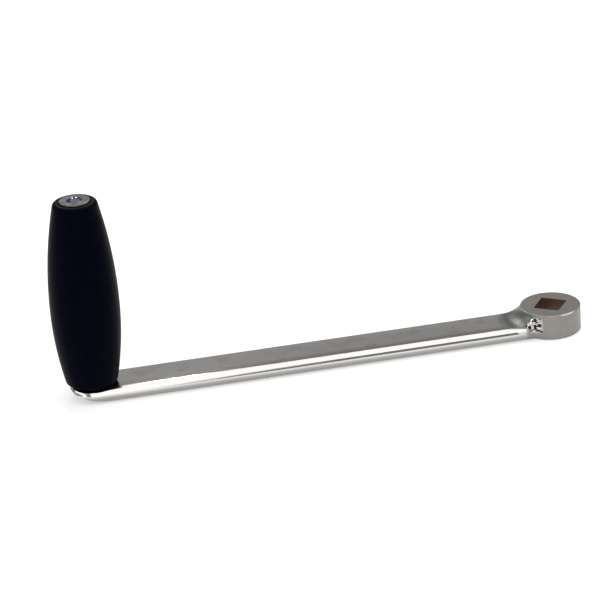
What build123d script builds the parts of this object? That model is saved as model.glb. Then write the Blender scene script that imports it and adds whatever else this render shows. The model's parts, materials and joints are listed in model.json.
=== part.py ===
"""Hand crank: a forged flat arm with a square-socket eye, and a barrel grip that spins on a riveted spindle.

Frame: the origin is on the axis of the square socket, on the flat underside of the eye. The arm runs
towards -X, the grip stands up along +Z at the far end, and the flat underside lies in the plane z = 0.
"""
from build123d import *
from math import sqrt
import os

os.makedirs("parts", exist_ok=True)

# ---------------------------------------------------------------- driving dimensions, millimetres
crank_radius = 250.0          # from the socket axis to the spindle axis

arm_width = 26.4
arm_thickness = 7.6
arm_edge_radius = 3.5         # the long edges of the forging are rounded almost to a full round

eye_diameter = 32.6
eye_height = 13.9
eye_edge_radius = 0.7         # the machined rims of the eye
socket_size = 14.1            # across flats, for a 14 mm square shaft
socket_turn = 10.7            # degrees from the arm's centre line to a diagonal of the square
socket_corner_radius = 0.5

neck_flare_radius = 20.0      # concave plan radius from the arm's side to the eye
neck_ramp_radius = 10.0       # concave radius that climbs from the arm's top to the eye
neck_step = 0.8               # the machined eye stands this much above the top of the ramp
neck_bite = 0.1               # the ramp runs this far into the eye's wall

end_overhang = 12.6           # from the spindle axis to the tip of the arm
heel_length = 17.0            # from the spindle axis to where the underside starts to rise
heel_radius = 73.0            # the heel is ground to this radius, through arm and spindle tail alike
heel_sweep = 60.0             # degrees of the grinding arc, enough to run out past the tip

journal_diameter = 12.0
tail_diameter = 10.0
neck_diameter = 6.5
peened_head_diameter = 8.6
peened_head_height = 1.5

thrust_washer_diameter = 19.0
thrust_washer_thickness = 1.6

grip_length = 100.8
grip_foot_diameter = 27.4
grip_belly_diameter = 36.6
grip_top_diameter = 22.9      # where the side would meet the end face without its rounding
grip_belly_height = 42.2      # from the grip's foot to its widest place
grip_foot_radius = 0.6
grip_rim_radius = 2.2

end_washer_diameter = 16.2
end_washer_thickness = 2.0
end_washer_edge_radius = 0.5
washer_recess_depth = 1.4

running_clearance = 0.06      # radial, grip bore on journal
end_float = 0.2               # axial gap at each end of the grip
recess_clearance = 0.4        # radial, round the end washer
washer_clearance = 0.1        # radial, thrust washer on journal

vertical_tolerance = 0.01     # on a unit vector, for telling upright faces and edges from the others

# ---------------------------------------------------------------- derived places
grip_x = -crank_radius
arm_tip_x = grip_x - end_overhang
heel_start_x = grip_x + heel_length
half_width = arm_width / 2
eye_radius = eye_diameter / 2
end_arc_x = arm_tip_x + half_width

# the flare touches the arm's side line and, from outside, the circle of the eye
flare_x = -sqrt((eye_radius + neck_flare_radius) ** 2 - (half_width + neck_flare_radius) ** 2)
flare_share = eye_radius / (eye_radius + neck_flare_radius)
flare_end_x = flare_x * flare_share
flare_end_y = (half_width + neck_flare_radius) * flare_share

# the ramp is a concave arc about the socket axis, level with the arm's top at its foot
crest_z = eye_height - neck_step
crest_radius = eye_radius - neck_bite
ramp_height = crest_z - arm_thickness
ramp_run = sqrt(neck_ramp_radius ** 2 - (neck_ramp_radius - ramp_height) ** 2)
ramp_foot_radius = crest_radius + ramp_run

thrust_washer_top = arm_thickness + thrust_washer_thickness
grip_foot_z = thrust_washer_top + end_float
grip_top_z = grip_foot_z + grip_length
recess_floor_z = grip_top_z - washer_recess_depth
end_washer_z = recess_floor_z + end_float
end_washer_top = end_washer_z + end_washer_thickness
peened_head_radius = peened_head_diameter / 2

spindle_axis = Axis((grip_x, 0, 0), (0, 0, 1))
spindle_section = Plane((grip_x, 0, 0), x_dir=(1, 0, 0), z_dir=(0, -1, 0))


def spindle_plane(height):
    """Horizontal plane at a height, centred on the spindle axis."""
    return Plane((grip_x, 0, height))


# ---------------------------------------------------------------- crank arm, one forging
# Heel cut: what is ground away under the grip end, so that the underside sweeps up to the tip.
with BuildPart() as heel_cut:
    with BuildSketch(Plane.XZ):
        with BuildLine():
            sweep_up = JernArc((heel_start_x, 0), (-1, 0), heel_radius, -heel_sweep)
            Polyline(sweep_up @ 1, ((sweep_up @ 1).X, 0), sweep_up @ 0)
        make_face()
    extrude(amount=arm_width, both=True)

# Bar: a round grip end, straight sides that flare out to the eye, and a top that ramps up to it.
with BuildPart() as bar:
    with BuildSketch():
        with BuildLine():
            side = Line((end_arc_x, half_width), (flare_x, half_width))
            flare = TangentArc(side @ 1, (flare_end_x, flare_end_y), tangent=side % 1)
            Line(flare @ 1, (0, 0))
            mirror(about=Plane.XZ)
            JernArc(side @ 0, (-1, 0), half_width, 180)
        make_face()
    extrude(amount=crest_z)
    with BuildSketch(Plane.XZ):
        with BuildLine():
            top = Line((0, crest_z), (crest_radius, crest_z))
            ramp = TangentArc((ramp_foot_radius, arm_thickness), top @ 1, tangent=(-1, 0))
            Polyline(ramp @ 0, (2 * crank_radius, arm_thickness), (2 * crank_radius, 0), (0, 0), top @ 0)
        make_face()
    revolve(axis=Axis.Z, mode=Mode.INTERSECT)
    walls = bar.faces().filter_by(lambda face: abs(face.normal_at().Z) < vertical_tolerance)
    outline = walls.edges().filter_by(lambda edge: edge.center().X < flare_end_x)
    long_edges = outline.filter_by(lambda edge: abs(edge.tangent_at(0.5).Z) < 1 - vertical_tolerance)
    fillet(long_edges, radius=arm_edge_radius)
    add(heel_cut.part, mode=Mode.SUBTRACT)

# Eye: a round boss with machined rims, joined to the bar, then broached and drilled.
with BuildPart() as crank_arm:
    with BuildSketch():
        Circle(eye_radius)
    extrude(amount=eye_height)
    fillet(crank_arm.edges(), radius=eye_edge_radius)
    add(bar.part)
    with BuildSketch(Plane.XY.rotated((0, 0, socket_turn + 45))):
        RectangleRounded(socket_size, socket_size, socket_corner_radius)
    extrude(amount=eye_height, mode=Mode.SUBTRACT)
    with BuildSketch(spindle_plane(0)):
        Circle(tail_diameter / 2)
    extrude(amount=arm_thickness, mode=Mode.SUBTRACT)
crank_arm.part.label = "crank_arm"
export_step(crank_arm.part, "parts/crank_arm.step")


# ---------------------------------------------------------------- spindle
# The tail fills the arm's hole and is ground with the heel; the neck is peened over the end washer.
with BuildPart() as spindle:
    with BuildSketch(spindle_plane(0)):
        Circle(tail_diameter / 2)
    extrude(amount=arm_thickness)
    add(heel_cut.part, mode=Mode.SUBTRACT)
    with BuildSketch(spindle_plane(arm_thickness)):
        Circle(journal_diameter / 2)
    extrude(amount=end_washer_z - arm_thickness)
    with BuildSketch(spindle_plane(end_washer_z)):
        Circle(neck_diameter / 2)
    extrude(amount=end_washer_thickness)
    with BuildSketch(spindle_section):
        with BuildLine():
            base = Line((-peened_head_radius, end_washer_top), (peened_head_radius, end_washer_top))
            ThreePointArc(base @ 0, (0, end_washer_top + peened_head_height), base @ 1)
        make_face()
        split(bisect_by=Plane.YZ)
    revolve(axis=spindle_axis)
spindle.part.label = "spindle"
export_step(spindle.part, "parts/spindle.step")


# ---------------------------------------------------------------- thrust washer, under the grip
with BuildPart() as thrust_washer:
    with BuildSketch(spindle_plane(arm_thickness)):
        Circle(thrust_washer_diameter / 2)
        Circle(journal_diameter / 2 + washer_clearance, mode=Mode.SUBTRACT)
    extrude(amount=thrust_washer_thickness)
thrust_washer.part.label = "thrust_washer"
export_step(thrust_washer.part, "parts/thrust_washer.step")


# ---------------------------------------------------------------- end washer, which keeps the grip on
with BuildPart() as end_washer:
    with BuildSketch(spindle_plane(end_washer_z)):
        Circle(end_washer_diameter / 2)
    extrude(amount=end_washer_thickness)
    fillet(end_washer.edges().group_by(Axis.Z)[-1], radius=end_washer_edge_radius)
    with BuildSketch(spindle_plane(end_washer_z)):
        Circle(neck_diameter / 2)
    extrude(amount=end_washer_thickness, mode=Mode.SUBTRACT)
end_washer.part.label = "end_washer"
export_step(end_washer.part, "parts/end_washer.step")


# ---------------------------------------------------------------- barrel grip
# Two arcs that meet upright at the belly, turned about the spindle axis, then bored and recessed.
with BuildPart() as grip:
    with BuildSketch(spindle_section):
        with BuildLine():
            belly = (grip_belly_diameter / 2, grip_foot_z + grip_belly_height)
            lower = TangentArc(belly, (grip_foot_diameter / 2, grip_foot_z), tangent=(0, -1))
            upper = TangentArc(belly, (grip_top_diameter / 2, grip_top_z), tangent=(0, 1))
            Line(upper @ 1, (0, grip_top_z))
            Line((0, grip_top_z), (0, grip_foot_z))
            Line((0, grip_foot_z), lower @ 1)
        make_face()
    revolve(axis=spindle_axis)
    fillet(grip.edges().group_by(Axis.Z)[0], radius=grip_foot_radius)
    fillet(grip.edges().group_by(Axis.Z)[-1], radius=grip_rim_radius)
    with BuildSketch(spindle_plane(grip_foot_z)):
        Circle(journal_diameter / 2 + running_clearance)
    extrude(amount=grip_length, mode=Mode.SUBTRACT)
    with BuildSketch(spindle_plane(recess_floor_z)):
        Circle(end_washer_diameter / 2 + recess_clearance)
    extrude(amount=washer_recess_depth, mode=Mode.SUBTRACT)
grip.part.label = "grip"
export_step(grip.part, "parts/grip.step")
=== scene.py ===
"""Crank handle: a plated steel arm with a machined eye, and a dark plastic grip that turns on its pin."""

import json
from math import cos, pi, radians, sin

import bmesh
import bpy
from mathutils import Matrix, Vector
from mathutils.geometry import intersect_point_line
from mathutils.noise import noise as solid_noise

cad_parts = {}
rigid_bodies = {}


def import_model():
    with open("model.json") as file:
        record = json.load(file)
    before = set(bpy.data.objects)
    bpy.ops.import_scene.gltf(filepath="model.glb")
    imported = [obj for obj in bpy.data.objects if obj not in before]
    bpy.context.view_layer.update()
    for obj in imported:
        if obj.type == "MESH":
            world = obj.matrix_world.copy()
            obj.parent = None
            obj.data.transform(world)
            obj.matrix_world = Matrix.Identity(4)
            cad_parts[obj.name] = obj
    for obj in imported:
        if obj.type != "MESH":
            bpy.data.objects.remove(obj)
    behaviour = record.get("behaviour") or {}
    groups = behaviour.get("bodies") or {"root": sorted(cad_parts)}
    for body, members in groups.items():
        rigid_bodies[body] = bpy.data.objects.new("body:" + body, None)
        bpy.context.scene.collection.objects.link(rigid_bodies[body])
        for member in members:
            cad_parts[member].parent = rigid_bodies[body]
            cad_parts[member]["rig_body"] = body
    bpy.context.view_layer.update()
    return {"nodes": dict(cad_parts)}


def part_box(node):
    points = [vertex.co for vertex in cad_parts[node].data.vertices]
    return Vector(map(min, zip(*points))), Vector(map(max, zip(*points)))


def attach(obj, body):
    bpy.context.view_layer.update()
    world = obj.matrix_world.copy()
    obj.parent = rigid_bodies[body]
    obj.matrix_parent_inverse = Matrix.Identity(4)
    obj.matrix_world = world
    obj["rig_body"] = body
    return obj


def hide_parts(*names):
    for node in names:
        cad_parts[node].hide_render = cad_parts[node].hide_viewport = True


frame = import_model()
MM = 0.001

# Places on the object that the looks need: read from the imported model, or the same as in its source
EYE_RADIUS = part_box("crank_arm")[1].x
GRIP_LOW, GRIP_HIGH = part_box("grip")
SPINDLE_X = (GRIP_LOW.x + GRIP_HIGH.x) / 2
ARM_HALF_WIDTH = 13.2 * MM
ARM_EDGE_RADIUS = 3.5 * MM
ARM_THICKNESS = 7.6 * MM
# Distances from the eye's axis: just past the socket's corners, and to the foot of the neck's ramp
SOCKET_REACH = 10.6 * MM
RAMP_REACH = 27.0 * MM

# The rough pocket in the near side of the neck: a ball's reach with a ragged outline, cut off above by
# a slanting brow
POCKET_CENTRE = (-11.8 * MM, -14.0 * MM, 8.8 * MM)
POCKET_RADIUS = 5.0 * MM
POCKET_RAGGEDNESS = 7.0 * MM
BROW_X = -16.2 * MM
BROW_Z = 9.2 * MM
BROW_SLOPE = 0.73
PIT_DEPTH = 0.9 * MM
PIT_PERIOD = 1.4 * MM
# Edges in the pocket that are longer than a cell are halved, in rounds enough for the longest ones
PIT_CELL = 0.45 * MM
PIT_ROUNDS = 9

# The arm's flats dip towards their long edges, over this width and by this much at the edge
FALL_WIDTH = 5.0 * MM
FALL_DEPTH = 0.1125 * MM

# The barrel grip's profile: its radii, the heights they are at, and how its corners are rounded
GRIP_SIZES = {
    "Axis X": SPINDLE_X,
    "Foot Z": GRIP_LOW.z,
    "Belly Z": GRIP_LOW.z + 42.2 * MM,
    "Top Z": GRIP_HIGH.z,
    "Recess Z": GRIP_HIGH.z - 1.4 * MM,
    "Foot Radius": 13.7 * MM,
    "Belly Radius": 18.3 * MM,
    "Top Radius": 11.45 * MM,
    "Bore Radius": 6.06 * MM,
    "Recess Radius": 8.5 * MM,
    "Foot Rounding": 0.6 * MM,
    "Rim Rounding": 2.2 * MM,
}
GRIP_SIDE_POINTS = 49
GRIP_CORNER_POINTS = 8
GRIP_SEGMENTS = 160

# Vertices nearer than this are one, and edges that turn by more than this angle stay sharp
WELD = 0.001 * MM
SHARP = radians(33)

# Light levels, as plain radiance
WHITE_TENT = 1.6
DARK_PANEL = 0.22
GREY_ROOM = 0.38

# The light table under the object, a little lower than the object so that no faces coincide
FLOOR_HALF = 4.0
FLOOR_Z = -0.1 * MM
FLOOR_WHITE = 0.62
FLOOR_GLOW = 0.45

# The tent's back edge and the dark band's, in degrees over the object from the horizon in front (0)
# to the one behind (180). Each edge is soft: a pair says where a tone begins to turn and where it has
TENT_TO_BAND = (131, 134)
BAND_TO_ROOM = (150.5, 155)
# The panel in front, to the right of the camera: its top edge in degrees, over the direction's x
PANEL_START_X = 0.115
PANEL_CLIMB = 850.0
PANEL_LOW = -4.0
PANEL_HIGH = 38.0
PANEL_SOFTNESS = 1.5
# The grey wall on the left and the white strip in it, over the direction's x
WALL_EDGE = (-0.32, -0.38)
STRIP_NEAR_EDGE = (-0.64, -0.68)
STRIP_FAR_EDGE = (-0.90, -0.86)

# Two small lamps that make the bright spots on the spindle's domed head
LAMP_DISTANCE = 0.5
LAMP_DIAMETER = 0.046
LAMP_WATTS = 0.30

# The camera: a long lens, looking down from in front and a little to the left, with a slight roll
CAMERA_AIM = Vector((-135.506, 4.328, 35.342)) * MM
CAMERA_AZIMUTH = radians(10.376)
CAMERA_ELEVATION = radians(23.881)
CAMERA_ROLL = radians(3.953)
CAMERA_DISTANCE = 1626.67 * MM
CAMERA_LENS = 184.37
CAMERA_SENSOR = 36.0
CAMERA_REACH = 50.0


def linear(hex_colour):
    """An sRGB hex colour as the linear RGBA that shaders take."""
    channels = [int(hex_colour[i:i + 2], 16) / 255 for i in (1, 3, 5)]
    return [c / 12.92 if c <= 0.04045 else ((c + 0.055) / 1.055) ** 2.4 for c in channels] + [1.0]


def grey(level):
    """A neutral colour from a linear level."""
    return (level, level, level, 1.0)


# ---------------------------------------------------------------- nodes

def add(tree, kind, links=None, values=None, **properties):
    """Adds a node. Links are {input: output socket}, values are {input: plain value}, and the other
    keywords are the node's own properties."""
    node = tree.nodes.new(kind)
    for name, value in properties.items():
        setattr(node, name, value)
    for key, value in (values or {}).items():
        node.inputs[key].default_value = value
    for key, socket in (links or {}).items():
        tree.links.new(socket, node.inputs[key])
    return node


def calc(tree, operation, first, second=None):
    """One Math node on sockets or plain numbers, as its output socket."""
    node = tree.nodes.new("ShaderNodeMath")
    node.operation = operation
    for index, value in enumerate([first, second]):
        if value is None:
            continue
        if isinstance(value, (int, float)):
            node.inputs[index].default_value = value
        else:
            tree.links.new(value, node.inputs[index])
    return node.outputs[0]


def product(tree, first, *others):
    """Several sockets or numbers multiplied."""
    for other in others:
        first = calc(tree, "MULTIPLY", first, other)
    return first


def total(tree, first, *others):
    """Several sockets or numbers added up."""
    for other in others:
        first = calc(tree, "ADD", first, other)
    return first


def inverse(tree, mask):
    """One minus a mask."""
    return calc(tree, "SUBTRACT", 1.0, mask)


def fade(tree, value, start, end, low=0.0, high=1.0):
    """A smooth step from low to high as value goes from start to end."""
    node = add(
        tree, "ShaderNodeMapRange", {"Value": value},
        {"From Min": start, "From Max": end, "To Min": low, "To Max": high},
        interpolation_type="SMOOTHSTEP",
    )
    return node.outputs[0]


def blend_colour(tree, factor, first, second):
    """Mixes two colours, each a socket or an RGBA value."""
    node = tree.nodes.new("ShaderNodeMix")
    node.data_type = "RGBA"
    # A Mix node has inputs for every type of data: 0 is the factor, 6 and 7 are the colours
    for key, value in ((0, factor), (6, first), (7, second)):
        if hasattr(value, "links"):
            tree.links.new(value, node.inputs[key])
        else:
            node.inputs[key].default_value = value
    return node.outputs[2]


def noise(tree, where, period, detail=2.0, stretch=(1, 1, 1)):
    """Noise with features about one period (metres) across, longer along an axis that is stretched."""
    size = add(
        tree, "ShaderNodeMapping", {"Vector": where},
        {"Scale": [1 / (period * s) for s in stretch]},
    )
    node = add(
        tree, "ShaderNodeTexNoise", {"Vector": size.outputs[0]},
        {"Scale": 1.0, "Detail": detail},
    )
    return node.outputs[0]


def separated(tree, vector):
    """A vector's X, Y and Z as sockets."""
    return add(tree, "ShaderNodeSeparateXYZ", {0: vector}).outputs


def axis_distance(tree, place, centre_x=0.0):
    """Distance from the upright axis at (centre_x, 0)."""
    x = calc(tree, "SUBTRACT", place["X"], centre_x)
    squares = total(tree, product(tree, x, x), product(tree, place["Y"], place["Y"]))
    return calc(tree, "SQRT", squares)


def turned_rings(tree, distance, pitch, depth):
    """The height of tool marks: rings round an axis, a fixed pitch apart."""
    wave = calc(tree, "SINE", product(tree, distance, 2 * pi / pitch))
    return product(tree, wave, depth)


def new_material(name):
    """A node material, its tree, its Principled shader and its object coordinates."""
    material = bpy.data.materials.new(name)
    material.use_nodes = True
    tree = material.node_tree
    where = tree.nodes.new("ShaderNodeTexCoord").outputs["Object"]
    return material, tree, tree.nodes["Principled BSDF"], where


def bump(tree, shader, height):
    """Bump of true height: the height socket is in metres."""
    node = add(tree, "ShaderNodeBump", {"Height": height}, {"Strength": 1.0, "Distance": 1.0})
    tree.links.new(node.outputs[0], shader.inputs["Normal"])


# ---------------------------------------------------------------- materials

def pocket_mask(tree, where, place):
    """The rough pocket of the neck, with a ragged outline under its brow."""
    from_centre = add(
        tree, "ShaderNodeVectorMath", {0: where}, {1: POCKET_CENTRE}, operation="DISTANCE"
    )
    uneven = calc(tree, "SUBTRACT", noise(tree, where, 4 * MM, 1.0), 0.5)
    from_edge = total(tree, from_centre.outputs["Value"], product(tree, uneven, POCKET_RAGGEDNESS))
    inside = fade(tree, from_edge, POCKET_RADIUS + 0.9 * MM, POCKET_RADIUS - 0.1 * MM)
    brow = product(tree, calc(tree, "SUBTRACT", place["X"], BROW_X), BROW_SLOPE)
    over_brow = calc(tree, "SUBTRACT", calc(tree, "SUBTRACT", place["Z"], BROW_Z), brow)
    return product(tree, inside, fade(tree, over_brow, 0.5 * MM, -0.2 * MM))


def arm_masks(tree, where, place, distance):
    """Where each finish of the arm lies, and where light and shade are painted on it, as {name: socket
    from 0 to 1}.
    """
    normal = tree.nodes.new("ShaderNodeNewGeometry").outputs["True Normal"]
    facing = separated(tree, normal)["Z"]
    eye = fade(tree, distance, EYE_RADIUS + 0.25 * MM, EYE_RADIUS + 0.05 * MM)
    pocket = product(tree, pocket_mask(tree, where, place), inverse(tree, eye))
    level = fade(tree, facing, 0.90, 0.98)
    # The neck is satin where its ramp rises above the bar, and close beside the eye. Its ramp is painted
    # darker as painted shade
    above_bar = fade(tree, place["Z"], ARM_THICKNESS - 0.5 * MM, ARM_THICKNESS - 0.1 * MM)
    on_ramp = fade(tree, distance, RAMP_REACH + 3 * MM, RAMP_REACH - 3 * MM)
    raised = product(tree, above_bar, on_ramp)
    beside_eye = fade(tree, place["X"], -EYE_RADIUS - 1.5 * MM, -EYE_RADIUS + 0.5 * MM)
    neck = product(tree, calc(tree, "MAXIMUM", raised, beside_eye), inverse(tree, pocket))
    # A painted highlight: a short stretch of the eye's front rim is painted bright
    rim = product(tree, fade(tree, facing, 0.2, 0.45), inverse(tree, level))
    highlight_start = fade(tree, place["X"], 0.5 * MM, 3 * MM)
    highlight_end = fade(tree, place["X"], 10 * MM, 7.5 * MM)
    # The socket's walls are the upright faces near the axis
    upright = fade(tree, calc(tree, "ABSOLUTE", facing), 0.6, 0.3)
    near_axis = fade(tree, distance, SOCKET_REACH + 0.3 * MM, SOCKET_REACH)
    return {
        "eye": eye,
        "pocket": pocket,
        "level": level,
        "raised": raised,
        "neck": neck,
        "rim_painted_highlight": product(tree, rim, highlight_start, highlight_end),
        "socket": product(tree, upright, near_axis),
        # Painted shade: the faces that look down
        "underside_painted_shade": fade(tree, facing, 0.08, -0.06),
    }


def plating_colour(tree, where, mask, beads):
    """Bright plating: cloudy warm patches on its flats, painted shade where it faces down, near-black
    painted shade in the pits.
    """
    clouds = noise(tree, where, 9 * MM, 3.0, (1.1, 1.0, 1.0))
    stain = product(tree, fade(tree, clouds, 0.50, 0.72, 0.0, 0.45), mask["level"])
    colour = blend_colour(tree, stain, linear("#cfcdca"), linear("#b5a996"))
    # Painted shade: faces that look down are painted a duller grey
    colour = blend_colour(tree, mask["underside_painted_shade"], colour, linear("#a09e9b"))
    # Painted shade: the low spots of the beads in the pocket are painted near black
    pit_painted_shade = product(tree, fade(tree, beads, 0.50, 0.44), mask["pocket"])
    return blend_colour(tree, pit_painted_shade, colour, linear("#23231f"))


def arm_colour(tree, where, mask, beads):
    """The plating, the machined eye with painted light and shade, the satin neck between them with painted
    shade on its ramp, and the brown socket.
    """
    tone = noise(tree, where, 4 * MM, 2.0)
    # Painted light and shade on the machined eye: its top is painted darker and its upright wall lighter
    turned_top_painted_shade = blend_colour(tree, tone, linear("#95938f"), linear("#a6a3a0"))
    turned_side_painted_light = blend_colour(tree, tone, linear("#85817c"), linear("#94908b"))
    machined = blend_colour(tree, mask["level"], turned_side_painted_light, turned_top_painted_shade)
    # Painted highlight on a short stretch of the eye's front rim
    machined = blend_colour(tree, mask["rim_painted_highlight"], machined, linear("#d8d5d0"))
    # Painted shade: the raised ramp of the neck is painted darker, and beside the eye the neck takes the
    # wall's painted-light colour
    satin = blend_colour(tree, mask["raised"], turned_side_painted_light, linear("#737470"))
    forged = blend_colour(tree, mask["neck"], plating_colour(tree, where, mask, beads), satin)
    outside = blend_colour(tree, mask["eye"], forged, machined)
    return blend_colour(tree, mask["socket"], outside, linear("#8f7a6a"))


def arm_roughness(tree, where, mask):
    """Fine polishing streaks along the bar, hazier on its flats, and satin on the eye and neck."""
    streaks = noise(tree, where, 0.5 * MM, 2.0, (30.0, 1.0, 1.0))
    polished = fade(tree, streaks, 0.3, 0.7, 0.05, 0.10)
    polished = total(tree, polished, product(tree, mask["level"], 0.06))
    satin = fade(tree, noise(tree, where, 1.2 * MM, 3.0), 0.3, 0.7, 0.36, 0.44)
    dull = calc(tree, "MAXIMUM", mask["eye"], mask["neck"])
    mixed = add(tree, "ShaderNodeMix", {"Factor": dull, "A": polished, "B": satin}, data_type="FLOAT")
    return mixed.outputs[0]


def arm_relief(tree, where, place, distance, mask, beads):
    """Flats that dip towards their long edges, slow waves in the plating, rings on the eye and beads in
    the pocket, as one height in metres."""
    fall_start = ARM_HALF_WIDTH - ARM_EDGE_RADIUS - FALL_WIDTH
    past = calc(tree, "SUBTRACT", calc(tree, "ABSOLUTE", place["Y"]), fall_start)
    past = calc(tree, "MINIMUM", calc(tree, "MAXIMUM", past, 0.0), FALL_WIDTH)
    fall = product(tree, past, past, -FALL_DEPTH / FALL_WIDTH ** 2, inverse(tree, mask["eye"]))
    waves = product(tree, noise(tree, where, 22 * MM, 1.0, (2.0, 1.0, 1.0)), 0.05 * MM)
    rings = product(tree, turned_rings(tree, distance, 0.35 * MM, 0.0016 * MM), mask["eye"])
    beading = product(tree, beads, 1.2 * MM, mask["pocket"])
    return total(tree, fall, waves, rings, beading)


def plated_steel():
    """Bright plating on forged and polished steel, with a satin turned eye and a brown broached socket,
    and painted light and shade in parts of its colour.
    """
    material, tree, shader, where = new_material("bright_plated_steel")
    place = separated(tree, where)
    distance = axis_distance(tree, place)
    mask = arm_masks(tree, where, place, distance)
    beads = noise(tree, where, 2.2 * MM, 1.0)
    tree.links.new(arm_colour(tree, where, mask, beads), shader.inputs["Base Color"])
    tree.links.new(arm_roughness(tree, where, mask), shader.inputs["Roughness"])
    shader.inputs["Metallic"].default_value = 1.0
    bump(tree, shader, arm_relief(tree, where, place, distance, mask, beads))
    return material


def turned_steel(name, colours, roughness):
    """Bright steel turned on a lathe, with fine rings round the spindle and a cloudy, oily tone."""
    material, tree, shader, where = new_material(name)
    distance = axis_distance(tree, separated(tree, where), SPINDLE_X)
    tone = noise(tree, where, 4 * MM, 2.0)
    colour = blend_colour(tree, tone, linear(colours[0]), linear(colours[1]))
    tree.links.new(colour, shader.inputs["Base Color"])
    tree.links.new(fade(tree, tone, 0.3, 0.7, *roughness), shader.inputs["Roughness"])
    shader.inputs["Metallic"].default_value = 1.0
    bump(tree, shader, turned_rings(tree, distance, 0.3 * MM, 0.0006 * MM))
    return material


def grip_plastic():
    """Moulded thermoset, satin and blue-black, with a fine orange-peel skin and faint dust."""
    material, tree, shader, where = new_material("black_moulded_phenolic")
    dust = noise(tree, where, 6 * MM, 5.0)
    colour = blend_colour(tree, fade(tree, dust, 0.45, 0.75), linear("#01020b"), linear("#03040f"))
    tree.links.new(colour, shader.inputs["Base Color"])
    tree.links.new(fade(tree, dust, 0.3, 0.7, 0.34, 0.42), shader.inputs["Roughness"])
    shader.inputs["IOR"].default_value = 1.35
    shader.inputs["Specular IOR Level"].default_value = 0.03
    bump(tree, shader, product(tree, noise(tree, where, 0.9 * MM, 2.0), 0.004 * MM))
    return material


def white_floor():
    """The matt white top of a light table: it glows a little and keeps the soft shadow."""
    material, _, shader, _ = new_material("white_board")
    shader.inputs["Base Color"].default_value = grey(FLOOR_WHITE)
    shader.inputs["Emission Color"].default_value = grey(1.0)
    shader.inputs["Emission Strength"].default_value = FLOOR_GLOW
    shader.inputs["Roughness"].default_value = 0.9
    shader.inputs["Specular IOR Level"].default_value = 0.0
    return material


# ---------------------------------------------------------------- meshes

def cad_surface(node):
    """A copy of a CAD node's own mesh."""
    return frame["nodes"][node].data.copy()


def welded(mesh):
    """A mesh opened for work, with its faces joined at their shared corners."""
    work = bmesh.new()
    work.from_mesh(mesh)
    bmesh.ops.remove_doubles(work, verts=work.verts, dist=WELD)
    return work


def edge_distance(edge, point):
    """How far a point is from an edge."""
    start, end = (vert.co for vert in edge.verts)
    _, factor = intersect_point_line(point, start, end)
    return (start.lerp(end, min(max(factor, 0.0), 1.0)) - point).length


def smooth_step(value, start, end):
    """A smooth step from 0 to 1 as value goes from start to end."""
    part = min(max((value - start) / (end - start), 0.0), 1.0)
    return part * part * (3 - 2 * part)


def pit_depth(point):
    """How deep the neck's pocket is at a point of the arm. It fades at its rim, the eye and the brow."""
    from_centre = (point - Vector(POCKET_CENTRE)).length
    over_brow = point.z - BROW_Z - BROW_SLOPE * (point.x - BROW_X)
    inside = smooth_step(from_centre, POCKET_RADIUS, POCKET_RADIUS - 1.5 * MM)
    off_eye = smooth_step(point.xy.length, EYE_RADIUS + 0.1 * MM, EYE_RADIUS + 0.9 * MM)
    under_brow = smooth_step(over_brow, 0.6 * MM, -0.4 * MM)
    uneven = 0.5 + 0.5 * solid_noise(point / PIT_PERIOD)
    return PIT_DEPTH * uneven * inside * off_eye * under_brow


def pitted(mesh):
    """The arm's mesh with the faces round the neck's pocket cut small and sunk unevenly inward."""
    work = welded(mesh)
    centre = Vector(POCKET_CENTRE)
    for _ in range(PIT_ROUNDS):
        long_edges = [
            edge for edge in work.edges
            if edge.calc_length() > PIT_CELL and edge_distance(edge, centre) < POCKET_RADIUS
        ]
        bmesh.ops.subdivide_edges(work, edges=long_edges, cuts=1)
        bmesh.ops.triangulate(work, faces=[face for face in work.faces if len(face.verts) > 3])
    work.normal_update()
    for vert in work.verts:
        vert.co -= pit_depth(vert.co) * vert.normal
    work.to_mesh(mesh)
    work.free()
    return mesh


def choose(tree, index, wanted, value, otherwise):
    """value where index is wanted, else otherwise. Compare's own margin of 0.5 fits whole numbers."""
    here = calc(tree, "COMPARE", index, wanted)
    gap = calc(tree, "SUBTRACT", value, otherwise)
    return total(tree, otherwise, product(tree, here, gap))


def arc_radius(tree, height, size, end):
    """The barrel's radius at a height, on an arc upright at the belly that meets one end's radius."""
    rise = calc(tree, "SUBTRACT", size[end + " Z"], size["Belly Z"])
    shrink = calc(tree, "SUBTRACT", size["Belly Radius"], size[end + " Radius"])
    squares = total(tree, product(tree, rise, rise), product(tree, shrink, shrink))
    arc = calc(tree, "DIVIDE", squares, product(tree, shrink, 2.0))
    above = calc(tree, "SUBTRACT", height, size["Belly Z"])
    reach = calc(tree, "SUBTRACT", product(tree, arc, arc), product(tree, above, above))
    centre = calc(tree, "SUBTRACT", size["Belly Radius"], arc)
    return total(tree, centre, calc(tree, "SQRT", reach))


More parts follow.
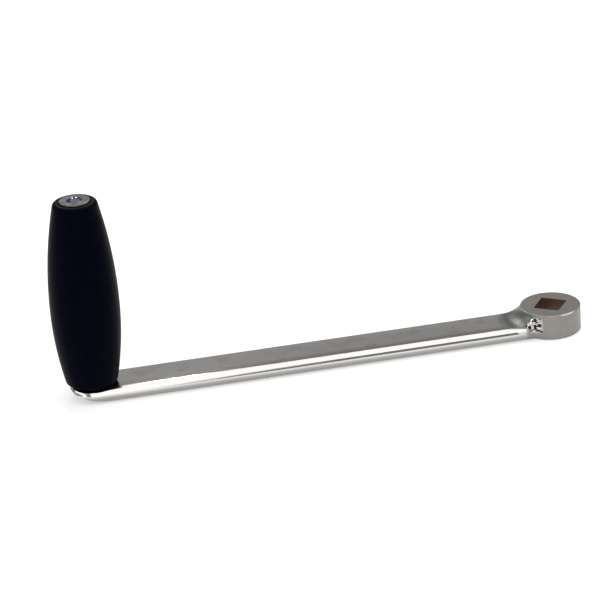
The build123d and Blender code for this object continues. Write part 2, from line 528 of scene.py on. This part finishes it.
def grip_profile(tree, size, index):
    """Half of the grip's outline as a closed curve in X and Z: the bore at the foot, the side's points
    from the foot to the rim, then the recess for the washer. Foot and rim are rounded."""
    rim = size["Side Points"]
    step = calc(tree, "DIVIDE", calc(tree, "SUBTRACT", index, 1.0), calc(tree, "SUBTRACT", rim, 1.0))
    length = calc(tree, "SUBTRACT", size["Top Z"], size["Foot Z"])
    height = total(tree, size["Foot Z"], product(tree, step, length))
    is_upper = calc(tree, "GREATER_THAN", height, size["Belly Z"])
    lower_radius = arc_radius(tree, height, size, "Foot")
    upper_radius = arc_radius(tree, height, size, "Top")
    difference = calc(tree, "SUBTRACT", upper_radius, lower_radius)
    radius = total(tree, lower_radius, product(tree, is_upper, difference))
    corners = (
        (0.0, "Bore Radius", "Foot Z"),
        (total(tree, rim, 1.0), "Recess Radius", "Top Z"),
        (total(tree, rim, 2.0), "Recess Radius", "Recess Z"),
        (total(tree, rim, 3.0), "Bore Radius", "Recess Z"),
    )
    for place, corner_radius, corner_height in corners:
        radius = choose(tree, index, place, size[corner_radius], radius)
        height = choose(tree, index, place, size[corner_height], height)
    line = add(tree, "GeometryNodeMeshLine", {"Count": total(tree, rim, len(corners))})
    point = add(tree, "ShaderNodeCombineXYZ", {"X": radius, "Z": height})
    placed = add(
        tree, "GeometryNodeSetPosition", {"Geometry": line.outputs[0], "Position": point.outputs[0]}
    )
    curve = add(tree, "GeometryNodeMeshToCurve", {"Mesh": placed.outputs[0]})
    rounding = choose(tree, index, 1.0, size["Foot Rounding"], 0.0)
    rounding = choose(tree, index, rim, size["Rim Rounding"], rounding)
    rounded = add(
        tree, "GeometryNodeFilletCurve", {"Curve": curve.outputs[0], "Radius": rounding},
        mode="POLY", values={"Count": GRIP_CORNER_POINTS},
    )
    return rounded.outputs[0]


def swept_round(tree, size, index, profile):
    """The profile swept round the grip's axis: a grid with one row for each point of the profile and the
    first row again at the end, moved into place and closed."""
    counted = add(tree, "GeometryNodeAttributeDomainSize", {"Geometry": profile}, component="CURVE")
    points = counted.outputs["Point Count"]
    rows = total(tree, points, 1.0)
    grid = add(
        tree, "GeometryNodeMeshGrid",
        {"Vertices X": total(tree, size["Segments"], 1.0), "Vertices Y": rows},
    )
    column = calc(tree, "FLOOR", calc(tree, "DIVIDE", total(tree, index, 0.5), rows))
    row = calc(tree, "SUBTRACT", index, product(tree, column, rows))
    row = choose(tree, row, points, 0.0, row)
    sample = add(
        tree, "GeometryNodeSampleIndex",
        {"Geometry": profile, "Index": calc(tree, "ROUND", row)},
        data_type="FLOAT_VECTOR", domain="POINT",
    )
    tree.links.new(tree.nodes.new("GeometryNodeInputPosition").outputs[0], sample.inputs["Value"])
    at = separated(tree, sample.outputs[0])
    turn = product(tree, calc(tree, "DIVIDE", column, size["Segments"]), 2 * pi)
    across = product(tree, at["X"], calc(tree, "COSINE", turn))
    swept = add(
        tree, "ShaderNodeCombineXYZ",
        {
            "X": total(tree, across, size["Axis X"]),
            "Y": product(tree, at["X"], calc(tree, "SINE", turn)),
            "Z": at["Z"],
        },
    )
    turned = add(
        tree, "GeometryNodeSetPosition", {"Geometry": grid.outputs[0], "Position": swept.outputs[0]}
    )
    closed = add(
        tree, "GeometryNodeMergeByDistance", {"Geometry": turned.outputs[0]}, {"Distance": WELD}
    )
    return closed.outputs[0]


def barrel_grip_nodes():
    """Geometry Nodes that turn the grip, with its sizes as named inputs."""
    tree = bpy.data.node_groups.new("barrel_grip", "GeometryNodeTree")
    tree.interface.new_socket("Geometry", in_out="OUTPUT", socket_type="NodeSocketGeometry")
    for name in GRIP_SIZES:
        tree.interface.new_socket(name, in_out="INPUT", socket_type="NodeSocketFloat")
    for name in ("Side Points", "Segments"):
        tree.interface.new_socket(name, in_out="INPUT", socket_type="NodeSocketInt")
    tree.interface.new_socket("Material", in_out="INPUT", socket_type="NodeSocketMaterial")
    size = tree.nodes.new("NodeGroupInput").outputs
    index = tree.nodes.new("GeometryNodeInputIndex").outputs[0]
    surface = swept_round(tree, size, index, grip_profile(tree, size, index))
    real = add(tree, "GeometryNodeRealizeInstances", {"Geometry": surface})
    dressed = add(
        tree, "GeometryNodeSetMaterial", {"Geometry": real.outputs[0], "Material": size["Material"]}
    )
    add(tree, "NodeGroupOutput", {"Geometry": dressed.outputs[0]})
    return tree


def turned_grip(material):
    """The grip as a plain mesh made by its Geometry Nodes."""
    tree = barrel_grip_nodes()
    maker = bpy.data.objects.new("grip_maker", bpy.data.meshes.new("grip_maker"))
    bpy.context.scene.collection.objects.link(maker)
    modifier = maker.modifiers.new("barrel_grip", "NODES")
    modifier.node_group = tree
    inputs = dict(GRIP_SIZES, Segments=GRIP_SEGMENTS, Material=material)
    inputs["Side Points"] = GRIP_SIDE_POINTS
    for socket in tree.interface.items_tree:
        if socket.in_out == "INPUT":
            modifier[socket.identifier] = inputs[socket.name]
    bpy.context.view_layer.update()
    evaluated = maker.evaluated_get(bpy.context.evaluated_depsgraph_get())
    mesh = bpy.data.meshes.new_from_object(evaluated)
    bpy.data.objects.remove(maker)
    return mesh


# ---------------------------------------------------------------- pieces

def show(node, mesh, material):
    """Shows this mesh for a CAD node, joined up and shaded smooth across its curves, in its material."""
    for name in ("custom_normal", "sharp_edge", "sharp_face"):
        if name in mesh.attributes:
            mesh.attributes.remove(mesh.attributes[name])
    work = welded(mesh)
    bmesh.ops.recalc_face_normals(work, faces=work.faces)
    for face in work.faces:
        face.smooth = True
    for edge in work.edges:
        edge.smooth = edge.calc_face_angle(0.0) < SHARP
    work.to_mesh(mesh)
    work.free()
    mesh.materials.clear()
    mesh.materials.append(material)
    piece = bpy.data.objects.new(node + "_finish", mesh)
    bpy.context.scene.collection.objects.link(piece)
    weighted = piece.modifiers.new("even_normals", "WEIGHTED_NORMAL")
    weighted.keep_sharp = True
    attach(piece, frame["nodes"][node]["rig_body"])
    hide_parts(node)


def build_pieces():
    """The five pieces of the crank handle, each on the body of its CAD node."""
    washer_steel = turned_steel("turned_washer_steel", ("#555352", "#63605e"), (0.24, 0.30))
    spindle_steel = turned_steel("turned_spindle_steel", ("#4d525d", "#5a5f69"), (0.08, 0.10))
    plastic = grip_plastic()
    show("crank_arm", pitted(cad_surface("crank_arm")), plated_steel())
    show("spindle", cad_surface("spindle"), spindle_steel)
    show("thrust_washer", cad_surface("thrust_washer"), washer_steel)
    show("end_washer", cad_surface("end_washer"), washer_steel)
    show("grip", turned_grip(plastic), plastic)


# ---------------------------------------------------------------- studio

def build_floor():
    """The light table's top."""
    corners = [(-1, -1), (1, -1), (1, 1), (-1, 1)]
    mesh = bpy.data.meshes.new("floor")
    mesh.from_pydata([(FLOOR_HALF * x, FLOOR_HALF * y, FLOOR_Z) for x, y in corners], [], [(0, 1, 2, 3)])
    mesh.materials.append(white_floor())
    floor = bpy.data.objects.new("floor", mesh)
    bpy.context.scene.collection.objects.link(floor)


def build_room():
    """A white light tent over the object, with a dark band and a grey room low down behind it, a dark
    panel low down in front, and a grey wall with one white strip on the left."""
    world = bpy.data.worlds.new("light_tent")
    bpy.context.scene.world = world
    world.use_nodes = True
    tree = world.node_tree
    direction = separated(tree, tree.nodes.new("ShaderNodeTexCoord").outputs["Generated"])
    sideways = direction["X"]
    forward = product(tree, direction["Y"], -1.0)
    angle = product(tree, calc(tree, "ARCTAN2", direction["Z"], forward), 180 / pi)
    # The front panel's top edge climbs to the right and then stays level
    climb = product(tree, calc(tree, "SUBTRACT", sideways, PANEL_START_X), PANEL_CLIMB)
    panel_top = calc(tree, "MAXIMUM", calc(tree, "MINIMUM", climb, PANEL_HIGH), PANEL_LOW)
    over_panel = calc(tree, "SUBTRACT", angle, panel_top)
    is_tent = fade(tree, over_panel, -PANEL_SOFTNESS, PANEL_SOFTNESS)
    tone = blend_colour(tree, is_tent, grey(DARK_PANEL), grey(WHITE_TENT))
    strip = product(
        tree, fade(tree, sideways, *STRIP_NEAR_EDGE), fade(tree, sideways, *STRIP_FAR_EDGE)
    )
    wall = product(tree, fade(tree, sideways, *WALL_EDGE), inverse(tree, strip))
    tone = blend_colour(tree, wall, tone, grey(GREY_ROOM))
    tone = blend_colour(tree, fade(tree, angle, *TENT_TO_BAND), tone, grey(DARK_PANEL))
    tone = blend_colour(tree, fade(tree, angle, *BAND_TO_ROOM), tone, grey(GREY_ROOM))
    background = tree.nodes["Background"]
    tree.links.new(tone, background.inputs["Color"])
    background.inputs["Strength"].default_value = 1.0


def towards(azimuth, elevation):
    """A unit vector. Azimuth goes from +Y towards +X, elevation goes up."""
    return Vector((
        sin(azimuth) * cos(elevation),
        cos(azimuth) * cos(elevation),
        sin(elevation),
    ))


def add_lamp(name, azimuth, elevation):
    """A round lamp behind the object, aimed at the grip's end and hidden from the camera."""
    aim = Vector((SPINDLE_X, 0, GRIP_HIGH.z))
    away = towards(azimuth, elevation)
    data = bpy.data.lights.new(name, "AREA")
    data.shape = "DISK"
    data.size = LAMP_DIAMETER
    data.energy = LAMP_WATTS
    lamp = bpy.data.objects.new(name, data)
    lamp.location = aim + LAMP_DISTANCE * away
    lamp.rotation_euler = away.to_track_quat("Z", "Y").to_euler()
    lamp.visible_camera = False
    bpy.context.scene.collection.objects.link(lamp)


def build_camera():
    """Looks at the aim, along the azimuth and down by the elevation, then rolls about that line."""
    forward = towards(CAMERA_AZIMUTH, -CAMERA_ELEVATION)
    level_right = Vector((cos(CAMERA_AZIMUTH), -sin(CAMERA_AZIMUTH), 0))
    level_up = level_right.cross(forward)
    right = cos(CAMERA_ROLL) * level_right - sin(CAMERA_ROLL) * level_up
    up = sin(CAMERA_ROLL) * level_right + cos(CAMERA_ROLL) * level_up
    data = bpy.data.cameras.new("camera")
    data.sensor_width = CAMERA_SENSOR
    data.lens = CAMERA_LENS
    data.clip_end = CAMERA_REACH
    camera = bpy.data.objects.new("camera", data)
    turn = Matrix((right, up, -forward)).transposed().to_4x4()
    camera.matrix_world = Matrix.Translation(CAMERA_AIM - CAMERA_DISTANCE * forward) @ turn
    bpy.context.scene.collection.objects.link(camera)
    bpy.context.scene.camera = camera


build_pieces()
build_floor()
build_room()
add_lamp("left_spot", azimuth=radians(-3), elevation=radians(33))
add_lamp("right_spot", azimuth=radians(15), elevation=radians(31))
build_camera()
bpy.context.scene.view_settings.view_transform = "Standard"
